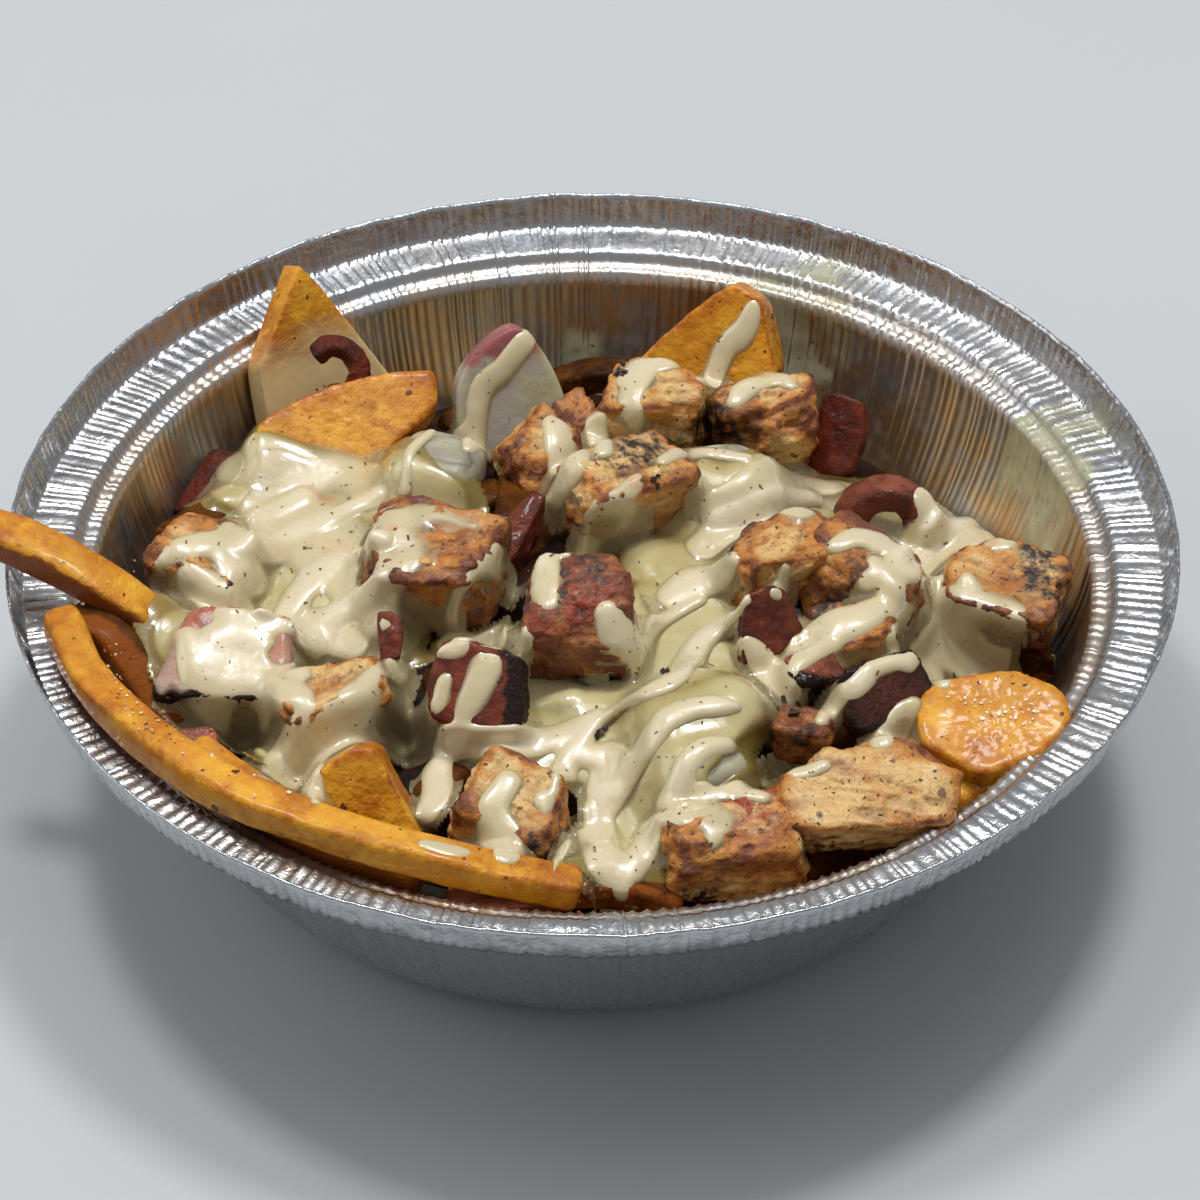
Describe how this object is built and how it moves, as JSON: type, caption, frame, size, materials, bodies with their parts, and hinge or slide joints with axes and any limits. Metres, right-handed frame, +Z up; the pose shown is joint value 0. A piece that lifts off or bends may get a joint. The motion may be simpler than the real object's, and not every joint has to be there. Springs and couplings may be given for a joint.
{
  "type": "loaded fries in a foil bowl",
  "caption": "Heap of fries with chicken, bacon, onion, melted cheese and white sauce in a round foil bowl with a stepped rim.",
  "frame": {"origin": "centre of the bowl's flat base, on the surface it stands on", "axes": "+Z up along the bowl's axis, -Y towards the side that faces the viewer, the long fry reaches over the rim at -X"},
  "size_m": [0.1933, 0.182, 0.0552],
  "materials": {
    "foil": "bright pleated foil",
    "fries": "golden fried potato",
    "cheese": "glossy melted cheese and cream sauce",
    "chicken": "grilled and seasoned",
    "bacon": "fried, greasy",
    "onion": "soft and translucent"
  },
  "bodies": {
    "root": {"foil_bowl": "foil", "fries_heap": "fries", "cheese_sauce": "cheese", "cheese_left": "cheese", "chicken_01": "chicken", "chicken_02": "chicken", "chicken_03": "chicken", "chicken_04": "chicken", "chicken_05": "chicken", "chicken_06": "chicken", "chicken_07": "chicken", "chicken_08": "chicken", "chicken_09": "chicken", "chicken_10": "chicken", "chicken_11": "chicken", "chicken_12": "chicken", "chicken_13": "chicken", "chicken_14": "chicken", "chicken_15": "chicken", "chicken_16": "chicken", "chicken_17": "chicken", "bacon_01": "bacon", "bacon_02": "bacon", "bacon_03": "bacon", "bacon_04": "bacon", "bacon_05": "bacon", "bacon_06": "bacon", "bacon_07": "bacon", "bacon_08": "bacon", "bacon_09": "bacon", "bacon_10": "bacon", "bacon_11": "bacon", "bacon_12": "bacon", "bacon_13": "bacon", "bacon_14": "bacon", "onion_01": "onion", "onion_02": "onion", "onion_03": "onion", "onion_04": "onion"}
  },
  "joints": []
}
